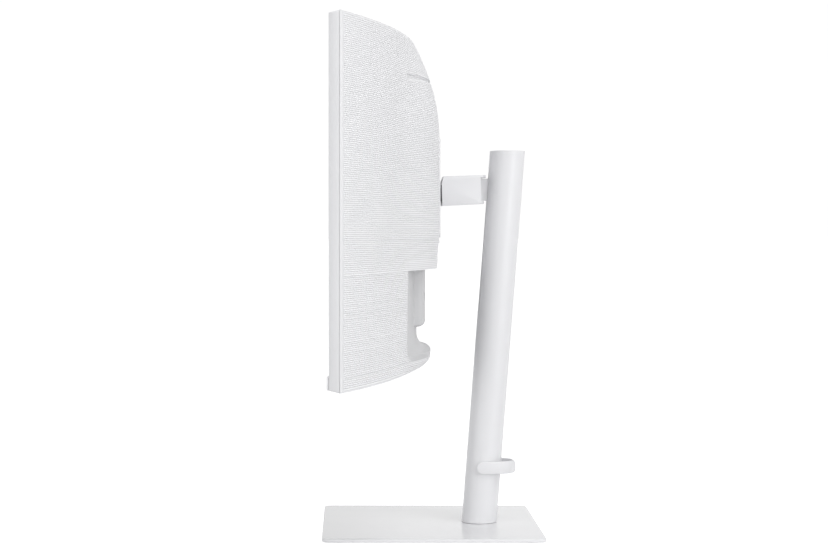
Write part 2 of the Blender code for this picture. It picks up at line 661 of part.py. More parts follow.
cover_data = bmesh.new()
outside = [[cover_data.verts.new((x, outer[j][i], z)) for i, x in enumerate(columns)]
           for j, z in enumerate(rows)]
inside = [[cover_data.verts.new((x, inner_y(j, i), z)) for i, x in enumerate(columns)]
          for j, z in enumerate(rows)]
for j in range(len(rows) - 1):
    for i in range(len(columns) - 1):
        for sheet in (outside, inside):
            cover_data.faces.new((sheet[j][i], sheet[j][i + 1], sheet[j + 1][i + 1], sheet[j + 1][i]))
border = ([(0, i) for i in range(len(columns))] + [(j, len(columns) - 1) for j in range(1, len(rows))]
          + [(len(rows) - 1, i) for i in range(len(columns) - 2, -1, -1)]
          + [(j, 0) for j in range(len(rows) - 2, 0, -1)])
for (j, i), (next_j, next_i) in zip(border, border[1:] + border[:1]):
    cover_data.faces.new((outside[j][i], outside[next_j][next_i], inside[next_j][next_i], inside[j][i]))
rear_cover = add_object("rear_cover", cover_data, WHITE_PLASTIC)

# ---------------------------------------------------------------- display: stand mount and its screws

mount_plate = box("mount_plate", (-PLATE_HALF, SEAT_Y + GAP, PLATE_Z - PLATE_HALF),
                  (PLATE_HALF, plate_back, PLATE_Z + PLATE_HALF), WHITE_PLASTIC)
bracket_back = SEAT_Y - COVER_WALL - GAP
bracket_front = bracket_back - BRACKET_THICK
bracket_half = PLATE_HALF - BRACKET_INSET
vesa_bracket = box("vesa_bracket", (-bracket_half, bracket_front, PLATE_Z - bracket_half),
                   (bracket_half, bracket_back, PLATE_Z + bracket_half), STEEL)
number = 0
for side_x in (-1, 1):
    for side_z in (-1, 1):
        number += 1
        place = along_y(side_x * VESA_PITCH / 2, PLATE_Z + side_z * VESA_PITCH / 2)
        head_back = bracket_front - GAP
        tip = plate_back - 4 * GAP
        ring_solid(f"vesa_screw_{number}", [
            circle(SCREW_HEAD_RADIUS, head_back - SCREW_HEAD_THICK, 20),
            circle(SCREW_HEAD_RADIUS, head_back, 20),
            circle(SCREW_RADIUS, head_back, 20), circle(SCREW_RADIUS, tip, 20),
        ], STEEL, place)
        for piece in (mount_plate, vesa_bracket, rear_cover):
            cut(piece, cylinder(f"cut_{piece.name}_{number}", SCREW_RADIUS + GAP,
                                head_back - SCREW_HEAD_THICK, tip + GAP, None, place=place, sides=20))

# ---------------------------------------------------------------- display: buttons

release_hole = RELEASE_WIDTH / 2 + GAP
release_back = cover_y(0, RELEASE_Z) + RELEASE_PROUD
box("release_button", (-RELEASE_WIDTH / 2, release_back - RELEASE_DEPTH, RELEASE_Z - RELEASE_HEIGHT / 2),
    (RELEASE_WIDTH / 2, release_back, RELEASE_Z + RELEASE_HEIGHT / 2), WHITE_PLASTIC)
cut(rear_cover, box("cut_release", (-release_hole, release_back - 1.5 * RELEASE_DEPTH,
                                    RELEASE_Z - RELEASE_HEIGHT / 2 - GAP),
                    (release_hole, release_back + RELEASE_DEPTH, RELEASE_Z + RELEASE_HEIGHT / 2 + GAP), None))

jog_y = (arc_y(JOG_X, COVER_RADIUS) + COVER_WALL + JOG_RADIUS)
cylinder("jog_button", JOG_RADIUS, DISPLAY_BOTTOM, DISPLAY_BOTTOM + JOG_HEIGHT, WHITE_PLASTIC,
         centre=(JOG_X, jog_y), sides=24)
cut(rear_cover, cylinder("cut_jog", JOG_RADIUS + 2 * GAP, DISPLAY_BOTTOM - JOG_HEIGHT,
                         DISPLAY_BOTTOM + JOG_HEIGHT + COVER_WALL, None, (JOG_X, jog_y), sides=24))

# ---------------------------------------------------------------- display: boards, sockets, speakers

board_y = arc_y(0, CHASSIS_RADIUS) + 4 * GAP
board_half = BLOCK_HALF - BOARD_INSET
board_low = BLOCK_BOTTOM + BLOCK_ROUND
box("main_board", (-board_half, board_y, board_low), (board_half, board_y + BOARD_THICK, BAY_TOP),
    BOARD_GREEN)
for name, x, width, height, wall in SOCKETS:
    back = cover_y(x + math.copysign(width / 2, x), SOCKET_Z) - GAP
    front = board_y + BOARD_THICK + GAP
    low = (x - width / 2, front, SOCKET_Z - height / 2)
    high = (x + width / 2, back, SOCKET_Z + height / 2)
    bottom = max(back - SOCKET_DEPTH, front + wall)
    socket = box(name, low, high, BLACK_PLASTIC)
    cut(socket, box(f"cut_{name}", (low[0] + wall, bottom, low[2] + wall),
                    (high[0] - wall, back + SOCKET_DEPTH, high[2] - wall), None))
    cut(rear_cover, box(f"cut_cover_{name}", (low[0] - GAP, back - 2 * SOCKET_DEPTH, low[2] - GAP),
                        (high[0] + GAP, back + SOCKET_DEPTH, high[2] + GAP), None))

power_low = BAY_TOP + POWER_ABOVE_BAY
power_high = DISPLAY_TOP - POWER_BELOW_TOP
power_tall = power_high - power_low
power_y = arc_y(POWER_NEAR, CHASSIS_RADIUS) + 2 * GAP
box("power_board", (-POWER_FAR, power_y, power_low), (-POWER_NEAR, power_y + BOARD_THICK, power_high),
    BOARD_GREEN)
parts_y = power_y + BOARD_THICK + GAP
transformer_low, transformer_high = (power_low + power_tall * share for share in TRANSFORMER_SPAN)
box("power_transformer", (TRANSFORMER_X - TRANSFORMER_WIDTH / 2, parts_y, transformer_low),
    (TRANSFORMER_X + TRANSFORMER_WIDTH / 2, parts_y + TRANSFORMER_DEPTH, transformer_high), BLACK_PLASTIC)
capacitor_low, capacitor_high = (power_low + power_tall * share for share in CAPACITOR_SPAN)
cylinder("power_capacitor", CAPACITOR_RADIUS, capacitor_low, capacitor_high, BLACK_PLASTIC,
         centre=(TRANSFORMER_X, parts_y + CAPACITOR_RADIUS), sides=24)

speaker_high = DISPLAY_TOP - SPEAKER_BELOW_TOP
speaker_y = arc_y(SPEAKER_NEAR, CHASSIS_RADIUS) + 2 * GAP
for name, side in (("speaker_left", -1), ("speaker_right", 1)):
    near, far = sorted((side * SPEAKER_NEAR, side * SPEAKER_FAR))
    box(name, (near, speaker_y, speaker_high - SPEAKER_HEIGHT),
        (far, speaker_y + SPEAKER_DEPTH, speaker_high), BLACK_PLASTIC)

# ---------------------------------------------------------------- joints: parent empties on the axes


def axis_empty(name, at, parent=None, parent_at=(0, 0, 0)):
    made = bpy.data.objects.new(name, None)
    bpy.context.scene.collection.objects.link(made)
    made.parent = parent
    made.location = Vector(at) - Vector(parent_at)
    return made


def hang(names, empty, origin):
    for name in names:
        piece = bpy.data.objects[name]
        piece.parent = empty
        piece.matrix_parent_inverse = Matrix.Translation(-Vector(origin))


STAND_PIECES = ("base_plate", "pole_tube", "pole_foot_plug", "pole_cap", "gas_cylinder", "cable_clip")
LIFT_PIECES = ("carriage", "gas_rod")
ARM_PIECES = ("arm_shell", "arm_core", "swivel_pin", "tilt_pin")
BUTTON_PIECES = ("release_button", "jog_button")
lift_at = (0, pole_axis_y(knuckle_mid), knuckle_mid)
swivel_at = (0, SWIVEL_Y, knuckle_mid)
tilt_at = (0, TILT_Y, TILT_Z)
release_at = (0, release_back, RELEASE_Z)
jog_at = (JOG_X, jog_y, DISPLAY_BOTTOM)
elsewhere = STAND_PIECES + LIFT_PIECES + ARM_PIECES + BUTTON_PIECES
display_pieces = [made.name for made in bpy.data.objects
                  if made.type == "MESH" and not made.hide_render and made.name not in elsewhere
                  and not made.name.startswith(("rubber_foot", "base_screw"))]
lift_axis = axis_empty("lift_axis", lift_at)
swivel_axis = axis_empty("swivel_axis", swivel_at, lift_axis, lift_at)
tilt_axis = axis_empty("tilt_axis", tilt_at, swivel_axis, swivel_at)
hang(LIFT_PIECES, lift_axis, lift_at)
hang(ARM_PIECES, swivel_axis, swivel_at)
hang(display_pieces, tilt_axis, tilt_at)
hang(["release_button"], axis_empty("release_axis", release_at, tilt_axis, tilt_at), release_at)
hang(["jog_button"], axis_empty("jog_axis", jog_at, tilt_axis, tilt_at), jog_at)
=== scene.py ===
"""The finished look of a curved white computer monitor on a leaning round-pole stand.

Metres, +Z up, -Y from the screen towards the viewer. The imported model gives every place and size.
"""
import math

import bmesh
import bpy
from mathutils import Matrix, Vector


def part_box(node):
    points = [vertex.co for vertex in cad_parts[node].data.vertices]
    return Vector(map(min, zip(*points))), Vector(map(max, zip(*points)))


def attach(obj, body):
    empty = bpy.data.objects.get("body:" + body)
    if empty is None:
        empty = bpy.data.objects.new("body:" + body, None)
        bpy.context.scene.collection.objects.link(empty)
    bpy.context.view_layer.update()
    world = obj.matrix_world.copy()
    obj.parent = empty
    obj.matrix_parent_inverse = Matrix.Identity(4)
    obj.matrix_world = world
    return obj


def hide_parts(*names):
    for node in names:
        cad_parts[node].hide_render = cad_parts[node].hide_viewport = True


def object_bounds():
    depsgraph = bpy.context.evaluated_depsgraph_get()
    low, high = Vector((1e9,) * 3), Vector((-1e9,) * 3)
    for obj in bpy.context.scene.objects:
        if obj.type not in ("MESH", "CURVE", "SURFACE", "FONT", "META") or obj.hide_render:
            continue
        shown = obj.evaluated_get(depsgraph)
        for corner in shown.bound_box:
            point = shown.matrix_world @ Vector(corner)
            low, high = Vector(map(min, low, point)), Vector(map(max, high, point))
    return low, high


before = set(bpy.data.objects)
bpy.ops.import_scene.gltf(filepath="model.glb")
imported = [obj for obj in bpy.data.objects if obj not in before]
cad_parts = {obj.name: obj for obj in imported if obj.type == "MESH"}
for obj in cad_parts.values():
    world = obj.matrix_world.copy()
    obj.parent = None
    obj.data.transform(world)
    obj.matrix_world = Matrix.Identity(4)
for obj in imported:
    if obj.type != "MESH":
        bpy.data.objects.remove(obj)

cad_low, cad_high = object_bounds()

# ---------------------------------------------------------------- studio
# A wide pale floor under a white sky, lit by four soft panels: one large overhead, one behind the
# display's rear cover, a low fill in front and a weak one beside the camera, which looks along
# the display from its end.

FLOOR_SIZE = 120.0
FLOOR_TONE = 0.86
FLOOR_GLOW = 0.78
SKY_LIGHT = 0.39
SKY_SEEN = 1.02


def studio_floor():
    mesh = bmesh.new()
    bmesh.ops.create_grid(mesh, x_segments=1, y_segments=1, size=FLOOR_SIZE / 2)
    bmesh.ops.translate(mesh, vec=(0, 0, cad_low.z - 0.0002), verts=mesh.verts[:])
    data = bpy.data.meshes.new("studio_floor")
    mesh.to_mesh(data)
    mesh.free()
    floor = bpy.data.objects.new("studio_floor", data)
    bpy.context.scene.collection.objects.link(floor)
    look = bpy.data.materials.new("floor_paper")
    look.use_nodes = True
    shader = look.node_tree.nodes["Principled BSDF"]
    shader.inputs["Base Color"].default_value = (FLOOR_TONE, FLOOR_TONE, FLOOR_TONE, 1)
    shader.inputs["Roughness"].default_value = 0.9
    shader.inputs["Specular IOR Level"].default_value = 0.1
    shader.inputs["Emission Color"].default_value = (1, 1, 1, 1)
    path = look.node_tree.nodes.new("ShaderNodeLightPath")
    glow = look.node_tree.nodes.new("ShaderNodeMath")
    glow.operation = "MULTIPLY"
    glow.inputs[1].default_value = FLOOR_GLOW
    bright = look.node_tree.nodes.new("ShaderNodeMath")
    bright.operation = "MAXIMUM"
    look.node_tree.links.new(path.outputs["Is Camera Ray"], bright.inputs[0])
    look.node_tree.links.new(path.outputs["Is Glossy Ray"], bright.inputs[1])
    look.node_tree.links.new(bright.outputs[0], glow.inputs[0])
    look.node_tree.links.new(glow.outputs[0], shader.inputs["Emission Strength"])
    data.materials.append(look)


def studio_sky():
    """White to the camera, softer as a light."""
    world = bpy.data.worlds.new("studio_sky")
    world.use_nodes = True
    nodes = world.node_tree.nodes
    links = world.node_tree.links
    seen = nodes.new("ShaderNodeBackground")
    seen.inputs["Strength"].default_value = SKY_SEEN
    seen.inputs["Color"].default_value = (1, 1, 1, 1)
    lighting = nodes["Background"]
    lighting.inputs["Color"].default_value = (0.99, 0.995, 1, 1)
    lighting.inputs["Strength"].default_value = SKY_LIGHT
    path = nodes.new("ShaderNodeLightPath")
    choose = nodes.new("ShaderNodeMixShader")
    bright = nodes.new("ShaderNodeMath")
    bright.operation = "MAXIMUM"
    links.new(path.outputs["Is Camera Ray"], bright.inputs[0])
    links.new(path.outputs["Is Glossy Ray"], bright.inputs[1])
    links.new(bright.outputs[0], choose.inputs["Fac"])
    links.new(lighting.outputs["Background"], choose.inputs[1])
    links.new(seen.outputs["Background"], choose.inputs[2])
    links.new(choose.outputs["Shader"], nodes["World Output"].inputs["Surface"])
    bpy.context.scene.world = world


def soft_panel(name, place, aim, size, power):
    light = bpy.data.lights.new(name, "AREA")
    light.shape = "RECTANGLE"
    light.size, light.size_y = size
    light.energy = power
    panel = bpy.data.objects.new(name, light)
    panel.location = place
    panel.rotation_euler = (Vector(aim) - Vector(place)).to_track_quat("-Z", "Y").to_euler()
    bpy.context.scene.collection.objects.link(panel)


studio_floor()
studio_sky()
soft_panel("panel_overhead", (1.0, 0.8, 2.3), (0, 0, 0.3), (1.4, 1.4), 21)
soft_panel("panel_rear", (2.2, 1.9, 0.9), (0.1, 0, 0.35), (0.7, 1.8), 24)
soft_panel("panel_front", (1.6, -2.2, 0.9), (0.1, 0, 0.3), (0.8, 1.6), 12)
soft_panel("panel_side", (2.6, -0.9, 0.5), (0.0, 0.05, 0.3), (0.5, 1.2), 3)
bpy.context.scene.view_settings.view_transform = "Standard"

camera_data = bpy.data.cameras.new("camera")
camera_data.sensor_width = 36
camera_data.lens = 79.57
camera_data.shift_x = 0.0787
camera_data.shift_y = -0.0572
camera = bpy.data.objects.new("camera", camera_data)
camera.location = (2.15, -0.0949, 0.3491)
camera.rotation_euler = (math.pi / 2, 0, math.pi / 2)
bpy.context.scene.collection.objects.link(camera)
bpy.context.scene.camera = camera

# ---------------------------------------------------------------- rear cover
# One injection-moulded white shell. Fine level ribs at a 2 mm pitch cover it, except for a smooth
# rim, the vent ledge, the stand seat and the cable bay, where the port block stands out.


def grain_group():
    """Fine spark-eroded texture: a height for bump and a slow shade that varies round 1."""
    group = bpy.data.node_groups.new("fine_grain", "ShaderNodeTree")
    for name, default in (("Grain Scale", 2500.0), ("Shade Scale", 9.0), ("Shade Depth", 0.02)):
        made = group.interface.new_socket(name, in_out="INPUT", socket_type="NodeSocketFloat")
        made.default_value = default
    group.interface.new_socket("Height", in_out="OUTPUT", socket_type="NodeSocketFloat")
    group.interface.new_socket("Shade", in_out="OUTPUT", socket_type="NodeSocketFloat")
    nodes = group.nodes
    links = group.links
    given = nodes.new("NodeGroupInput")
    result = nodes.new("NodeGroupOutput")
    where = nodes.new("ShaderNodeTexCoord")
    grain = nodes.new("ShaderNodeTexNoise")
    grain.inputs["Detail"].default_value = 2.0
    cloud = nodes.new("ShaderNodeTexNoise")
    cloud.inputs["Detail"].default_value = 3.0
    links.new(where.outputs["Object"], grain.inputs["Vector"])
    links.new(where.outputs["Object"], cloud.inputs["Vector"])
    links.new(given.outputs["Grain Scale"], grain.inputs["Scale"])
    links.new(given.outputs["Shade Scale"], cloud.inputs["Scale"])
    links.new(grain.outputs["Fac"], result.inputs["Height"])
    centred = nodes.new("ShaderNodeMath")
    centred.operation = "SUBTRACT"
    centred.inputs[1].default_value = 0.5
    links.new(cloud.outputs["Fac"], centred.inputs[0])
    scaled = nodes.new("ShaderNodeMath")
    scaled.operation = "MULTIPLY_ADD"
    scaled.inputs[2].default_value = 1.0
    links.new(centred.outputs[0], scaled.inputs[0])
    links.new(given.outputs["Shade Depth"], scaled.inputs[1])
    links.new(scaled.outputs[0], result.inputs["Shade"])
    return group


FINE_GRAIN = grain_group()


def grained(name, colour, roughness, grain_scale=2500.0, grain_depth=0.00002, shade_depth=0.03,
            metallic=0.0, specular=0.5, coat=0.0):
    """A solid finish with fine grain in its surface and a faint drift in its tone and gloss."""
    look = bpy.data.materials.new(name)
    look.use_nodes = True
    nodes = look.node_tree.nodes
    links = look.node_tree.links
    shader = nodes["Principled BSDF"]
    shader.inputs["Metallic"].default_value = metallic
    shader.inputs["Specular IOR Level"].default_value = specular
    shader.inputs["Coat Weight"].default_value = coat
    grain = nodes.new("ShaderNodeGroup")
    grain.node_tree = FINE_GRAIN
    grain.inputs["Grain Scale"].default_value = grain_scale
    grain.inputs["Shade Depth"].default_value = shade_depth
    tint = nodes.new("ShaderNodeMix")
    tint.data_type = "RGBA"
    tint.blend_type = "MULTIPLY"
    tint.inputs["Factor"].default_value = 1.0
    tint.inputs["A"].default_value = (*colour, 1)
    links.new(grain.outputs["Shade"], tint.inputs["B"])
    links.new(tint.outputs["Result"], shader.inputs["Base Color"])
    gloss = nodes.new("ShaderNodeMath")
    gloss.operation = "MULTIPLY"
    gloss.inputs[1].default_value = roughness
    links.new(grain.outputs["Shade"], gloss.inputs[0])
    links.new(gloss.outputs[0], shader.inputs["Roughness"])
    bump = nodes.new("ShaderNodeBump")
    bump.inputs["Distance"].default_value = grain_depth
    bump.inputs["Strength"].default_value = 0.6
    links.new(grain.outputs["Height"], bump.inputs["Height"])
    links.new(bump.outputs["Normal"], shader.inputs["Normal"])
    return look


WHITE_MOULDING = grained("white_moulding", (0.80, 0.80, 0.815), 0.48)
# The cover's colour is lighter than the other white mouldings, as painted light that makes up for the painted
# shade in its grooves.
COVER_MOULDING = grained("cover_moulding", (0.92, 0.92, 0.935), 0.50, grain_depth=0.000004,
                         shade_depth=0.01)


def shade_cover(look, half_x, low, high, corner, tone):
    """Darken the grooves between the ribs as painted shade, and make the cable bay a little darker.

    The bay is a box with rounded lower corners, and it and the cover's side margins have no ribs.
    """
    nodes = look.node_tree.nodes
    links = look.node_tree.links
    where = nodes.new("ShaderNodeTexCoord")
    last = where.outputs["Object"]
    for operation, value in (("MULTIPLY", (1, 0, 1)), ("SUBTRACT", (0, 0, high + corner)), ("ABSOLUTE", None),
                             ("SUBTRACT", (half_x - corner, 0, high - low)), ("MAXIMUM", (0, 0, 0))):
        step = nodes.new("ShaderNodeVectorMath")
        step.operation = operation
        links.new(last, step.inputs[0])
        if value is not None:
            step.inputs[1].default_value = value
        last = step.outputs[0]
    reach = nodes.new("ShaderNodeVectorMath")
    reach.operation = "LENGTH"
    links.new(last, reach.inputs[0])
    inside = nodes.new("ShaderNodeMath")
    inside.operation = "LESS_THAN"
    inside.inputs[1].default_value = corner
    links.new(reach.outputs["Value"], inside.inputs[0])
    parts = nodes.new("ShaderNodeSeparateXYZ")
    links.new(where.outputs["Object"], parts.inputs[0])
    under = nodes.new("ShaderNodeMath")
    under.operation = "LESS_THAN"
    under.inputs[1].default_value = high
    links.new(parts.outputs["Z"], under.inputs[0])
    both = nodes.new("ShaderNodeMath")
    both.operation = "MULTIPLY"
    links.new(inside.outputs[0], both.inputs[0])
    links.new(under.outputs[0], both.inputs[1])
    height = nodes.new("ShaderNodeMath")
    height.operation = "MULTIPLY_ADD"
    height.inputs[1].default_value = 2 * math.pi / RIB_PITCH
    height.inputs[2].default_value = -cover_low.z * 2 * math.pi / RIB_PITCH
    links.new(parts.outputs["Z"], height.inputs[0])
    wave = nodes.new("ShaderNodeMath")
    wave.operation = "COSINE"
    links.new(height.outputs[0], wave.inputs[0])
    away = nodes.new("ShaderNodeMath")
    away.operation = "SUBTRACT"
    away.inputs[0].default_value = 1.0
    links.new(both.outputs[0], away.inputs[1])
    aside = nodes.new("ShaderNodeMath")
    aside.operation = "ABSOLUTE"
    links.new(parts.outputs["X"], aside.inputs[0])
    within = nodes.new("ShaderNodeMath")
    within.operation = "LESS_THAN"
    within.inputs[1].default_value = cover_half - RIM_SMOOTH_X
    links.new(aside.outputs[0], within.inputs[0])
    ribs = nodes.new("ShaderNodeMath")
    ribs.operation = "MULTIPLY"
    links.new(away.outputs[0], ribs.inputs[0])
    links.new(within.outputs[0], ribs.inputs[1])
    # Painted shade: the cover's colour is darkened in the grooves between the ribs, for the shade that falls
    # in them.
    groove = nodes.new("ShaderNodeMath")
    groove.operation = "MULTIPLY"
    links.new(wave.outputs[0], groove.inputs[0])
    links.new(ribs.outputs[0], groove.inputs[1])
    shade = nodes.new("ShaderNodeMath")
    shade.operation = "MULTIPLY_ADD"
    shade.inputs[1].default_value = -RIB_PAINTED_SHADE
    shade.inputs[2].default_value = 1.0 - RIB_PAINTED_SHADE
    links.new(groove.outputs[0], shade.inputs[0])
    shader = nodes["Principled BSDF"]
    ribbed = nodes.new("ShaderNodeMix")
    ribbed.data_type = "RGBA"
    ribbed.blend_type = "MULTIPLY"
    ribbed.inputs["Factor"].default_value = 1.0
    links.new(shader.inputs["Base Color"].links[0].from_socket, ribbed.inputs["A"])
    links.new(shade.outputs[0], ribbed.inputs["B"])
    plain = ribbed.outputs["Result"]
    # The cable bay is made a little darker than the rest of the cover.
    toned = nodes.new("ShaderNodeMix")
    toned.data_type = "RGBA"
    toned.blend_type = "MULTIPLY"
    toned.inputs["B"].default_value = (tone, tone, tone, 1)
    links.new(both.outputs[0], toned.inputs["Factor"])
    links.new(plain, toned.inputs["A"])
    links.new(toned.outputs["Result"], shader.inputs["Base Color"])


def add_piece(name, mesh, look, body, replaced=(), sharp=40):
    """Make a bmesh a finished piece that rides on a body and may stand for CAD nodes."""
    data = bpy.data.meshes.new(name)
    mesh.to_mesh(data)
    mesh.free()
    data.shade_smooth()
    data.set_sharp_from_angle(angle=math.radians(sharp))
    data.materials.append(look)
    piece = bpy.data.objects.new(name, data)
    bpy.context.scene.collection.objects.link(piece)
    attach(piece, body)
    if replaced:
        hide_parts(*replaced)
    return piece


CURVE_CENTRE_Y = -1.0306
SPLIT_RADIUS = 1.0108
EDGE_RADIUS = 1.0125
cover_low, cover_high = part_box("rear_cover")
cover_half = cover_high.x
seat_low, seat_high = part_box("mount_plate")
SEAT_GAP = 0.0006
PEAK = 0.0284
CROWN = 0.1050
SHOULDER_Z = 0.3400
SHOULDER_SLOPE = 0.0729
FLAT_HALF = 0.0600
FADE_WIDTH = 0.1760
LIP_TOP = 0.2105
LIP_ROUND = 0.0150
BAY_HALF = 0.1870
BAY_BOTTOM = 0.2045
BAY_CORNER = 0.0220
BAY_STEP = 0.0007
BAY_TONE = 0.74
BAY_BLEND = 0.0370
BAY_TOP = 0.3030
BAY_FLOOR = 0.0020
BAND_TOP = 0.3153
SCOOP_TOP = 0.2300
BLOCK_HALF = 0.1150
BLOCK_BOTTOM = 0.2400
BLOCK_ROUND = 0.0040
BLOCK_PROUD = 0.0120
VENT_LOW = 0.5152
VENT_HIGH = 0.5181
VENT_LOW_DROP = 0.0053
VENT_HIGH_DROP = 0.0020
VENT_HALF = 0.1870
VENT_DEPTH = 0.0032
VENT_LIP = 0.0024
RIB_PITCH = 0.0020
RIB_DEPTH = 0.0007
# Painted shade in the rib grooves: how much the cover's colour is darkened there.
RIB_PAINTED_SHADE = 0.13
RIM_ROUND = 0.0012
RIM_SMOOTH_X = 0.0060
RIM_SMOOTH_Z = 0.0024
WALL_RUN = 0.0008
COVER_SKIN = 0.0006
SOCKET_Z = 0.2720
GAP = 0.0003
SLACK = 1e-6
COLUMN_STEP = 0.009
OUTER_COLUMN_STEP = 0.014
OUTER_X = 0.22
HOLES = {}
for node, half_height in (("power_inlet", 0.0113), ("hdmi_socket", 0.0042),
                          ("displayport_socket", 0.0042), ("usb_c_socket", 0.0026),
                          ("network_socket", 0.0073), ("usb_a_socket", 0.0042),
                          ("audio_socket", 0.0042)):
    low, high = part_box(node)
    HOLES[node] = (low.x - GAP, high.x + GAP, SOCKET_Z - half_height, SOCKET_Z + half_height)
release_low, release_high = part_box("release_button")
HOLES["release_button"] = (release_low.x - GAP, release_high.x + GAP,
                           release_low.z - GAP, release_high.z + GAP)


def arc_y(x, radius):
    return CURVE_CENTRE_Y + math.sqrt(radius * radius - x * x)


def bulge(z):
    """Depth behind the thin edge on the centre line: a parabolic crown, a slope and a lip."""
    below_top = cover_high.z - z
    if below_top < CROWN:
        return PEAK * (1 - (1 - below_top / CROWN) ** 2)
    depth = PEAK - SHOULDER_SLOPE * max(0.0, SHOULDER_Z - z)
    above_bottom = z - cover_low.z
    if above_bottom < LIP_ROUND:
        depth *= math.sqrt(max(0.0, 1 - (1 - above_bottom / LIP_ROUND) ** 2))
    return depth


def fade(x):
    share = min(1.0, max(0.0, (abs(x) - FLAT_HALF) / FADE_WIDTH))
    return math.cos(math.pi / 2 * share) ** 2


def bay_half(z):
    """The bay's half width, drawn in round its two lower corners."""
    rise = z - BAY_BOTTOM
    if rise >= BAY_CORNER:
        return BAY_HALF
    return BAY_HALF - BAY_CORNER + math.sqrt(max(0.0, BAY_CORNER ** 2 - (BAY_CORNER - rise) ** 2))


def bay_depth(x, z):
    depth = BAY_FLOOR
    if z < SCOOP_TOP:
        share = min(1.0, (SCOOP_TOP - z) / (SCOOP_TOP - LIP_TOP))
        lip = bulge(LIP_TOP) * fade(x)
        depth += max(0.0, lip - BAY_FLOOR) * (1 - math.sqrt(1 - share * share))
    if abs(x) <= BLOCK_HALF and z >= BLOCK_BOTTOM:
        share = min(1.0, (z - BLOCK_BOTTOM) / BLOCK_ROUND)
        side = min(1.0, (BLOCK_HALF - abs(x)) / BLOCK_ROUND)
        depth = BLOCK_PROUD - BLOCK_ROUND * (1 - math.sqrt(1 - (1 - share) ** 2))
        depth -= BLOCK_ROUND * (1 - math.sqrt(1 - (1 - side) ** 2))
    return depth


def vent_edges(x):
    """The vent slot's lower and upper edge: both arch up in the middle, where the slot is narrow."""
    bend = (x / VENT_HALF) ** 2
    return VENT_LOW - VENT_LOW_DROP * bend, VENT_HIGH - VENT_HIGH_DROP * bend


def rib_share(x, z):
    """1 where the ribs are at full depth and 0 on the smooth stretches."""
    if cover_half - abs(x) < RIM_SMOOTH_X:
        return 0.0
    if min(cover_high.z - z, z - cover_low.z) < RIM_SMOOTH_Z:
        return 0.0
    if z > BAY_BOTTOM + BAY_CORNER and abs(x) <= BAY_HALF + SLACK and z < BAND_TOP:
        return 0.0
    if BAY_BOTTOM < z <= BAY_BOTTOM + BAY_CORNER and abs(x) <= bay_half(z) + SLACK:
        return 0.0
    vent_low, vent_high = vent_edges(x)
    if abs(x) <= VENT_HALF + SLACK and vent_low - SLACK < z < vent_high + SLACK:
        return 0.0
    return 1.0


def cover_depth_y(x, z, groove):
    across = max(abs(x), abs(z - (seat_low.z + seat_high.z) / 2))
    if across <= seat_high.x + SEAT_GAP:
        return seat_low.y - GAP
    depth = bulge(z) * fade(x)
    vent_low, vent_high = vent_edges(x)
    if abs(x) <= VENT_HALF + SLACK and vent_low - VENT_LIP < z < vent_high - SLACK:
        share = min(1.0, (z - vent_low + VENT_LIP) / VENT_LIP)
        depth -= VENT_DEPTH if z > vent_low + SLACK else VENT_LIP * (1 - math.sqrt(1 - share ** 2)) / 2
    if abs(x) <= bay_half(z) + SLACK and BAY_BOTTOM + SLACK < z <= BAY_TOP:
        depth = min(depth - BAY_STEP, bay_depth(x, z))
    depth -= RIB_DEPTH * groove * rib_share(x, z)
    border = min(cover_half - abs(x), cover_high.z - z, z - cover_low.z)
    if border < RIM_ROUND:
        depth -= RIM_ROUND - math.sqrt(max(0.0, RIM_ROUND ** 2 - (RIM_ROUND - border) ** 2))
    return arc_y(x, EDGE_RADIUS) + depth


def cover_columns():
    """Level places across the cover: every upright edge, and even steps between them."""
    stops = {0.0}
    for left, right, _, _ in HOLES.values():
        stops.update((left, right))
    half = seat_high.x + SEAT_GAP
    for x in (half, half + WALL_RUN, BLOCK_HALF - BLOCK_ROUND, BLOCK_HALF - BLOCK_ROUND / 3, BLOCK_HALF,
              BLOCK_HALF + WALL_RUN, BAY_HALF, BAY_HALF + WALL_RUN,
              cover_half - RIM_SMOOTH_X - WALL_RUN, cover_half - RIM_SMOOTH_X, cover_half - RIM_ROUND,
              cover_half - RIM_ROUND / 2, cover_half - RIM_ROUND / 6, cover_half):
        stops.update((x, -x))
    stops = sorted(stops)
    lines = [stops[0]]
    for low, high in zip(stops, stops[1:]):
        step = COLUMN_STEP if abs(low + high) < 2 * OUTER_X else OUTER_COLUMN_STEP
        count = max(1, math.ceil((high - low) / step))
        lines += [low + (high - low) * i / count for i in range(1, count + 1)]
    return [lines[0]] + lines + [lines[-1]]


def cover_rows():
    """Upright places: two to a rib, the nearest ones drawn onto the level edges."""
    rows = []
    count = round((cover_high.z - cover_low.z) / RIB_PITCH)
    for k in range(count):
        for part, groove in ((0.0, 1.0), (0.5, 0.0)):
            rows.append([cover_low.z + (k + part) * RIB_PITCH, groove])
    rows = [row for row in rows if cover_low.z + RIM_ROUND < row[0] < cover_high.z - RIM_ROUND]
    middle = (seat_low.z + seat_high.z) / 2
    half = seat_high.x + SEAT_GAP
    edges = [BAY_BOTTOM, BAY_BOTTOM + WALL_RUN / 2, LIP_TOP, SCOOP_TOP, BLOCK_BOTTOM - WALL_RUN,
             BLOCK_BOTTOM, BAY_TOP, BAY_TOP + WALL_RUN, BAND_TOP, middle - half - WALL_RUN,
             middle - half, middle + half, middle + half + WALL_RUN]
    for _, _, low, high in HOLES.values():
        edges += [low, high]
    for edge in sorted(set(round(edge, 6) for edge in edges)):
        nearest = min(rows, key=lambda row: abs(row[0] - edge))
        nearest[0] = edge
    ends = [0.0, 0.0, RIM_ROUND / 6, RIM_ROUND / 2, RIM_ROUND]
    return ([[cover_low.z + e, 0.0] for e in ends] + sorted(rows)
            + [[cover_high.z - e, 0.0] for e in ends[::-1]])


